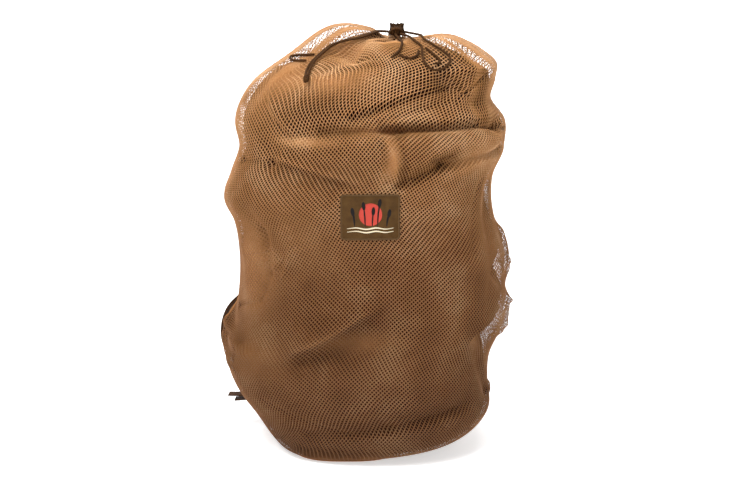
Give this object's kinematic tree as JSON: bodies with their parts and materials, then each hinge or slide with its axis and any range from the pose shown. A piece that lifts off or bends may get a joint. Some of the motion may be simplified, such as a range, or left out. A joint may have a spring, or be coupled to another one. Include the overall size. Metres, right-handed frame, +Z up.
{
  "type": "mesh decoy bag",
  "caption": "Tall mesh sack standing full, drawn shut at the top with a cord tied in a bow, with a sewn front patch and webbing shoulder straps.",
  "frame": {"origin": "on the floor under the middle of the sack, on the underside of its flat base", "axes": "+Z up along the sack's height, -Y towards the front with the patch, +X to the viewer's right"},
  "size_m": [0.5409, 0.4271, 0.7687],
  "materials": {
    "net": "knitted mesh, matte",
    "hem": "gathered cloth, matte",
    "patch": "woven twill, matte",
    "cord": "braided cord, matte",
    "webbing": "ribbed webbing, matte"
  },
  "bodies": {
    "root": {"net_front_low": "net", "net_front_middle": "net", "net_front_high": "net", "net_back_low": "net", "net_back_middle": "net", "net_back_high": "net", "net_base": "net", "gathered_hem": "hem", "patch": "patch", "drawcord_tail_front": "cord", "drawcord_tail_back": "cord", "drawcord_small_loop": "cord", "drawcord_bow_loop": "cord", "drawcord_bow_inner": "cord", "drawcord_drop": "cord", "drawcord_link": "cord", "bow_knot": "cord", "end_knot": "cord", "strap_left": "webbing", "strap_right": "webbing", "strap_tail_upper": "webbing", "strap_tail_lower": "webbing"}
  },
  "joints": []
}
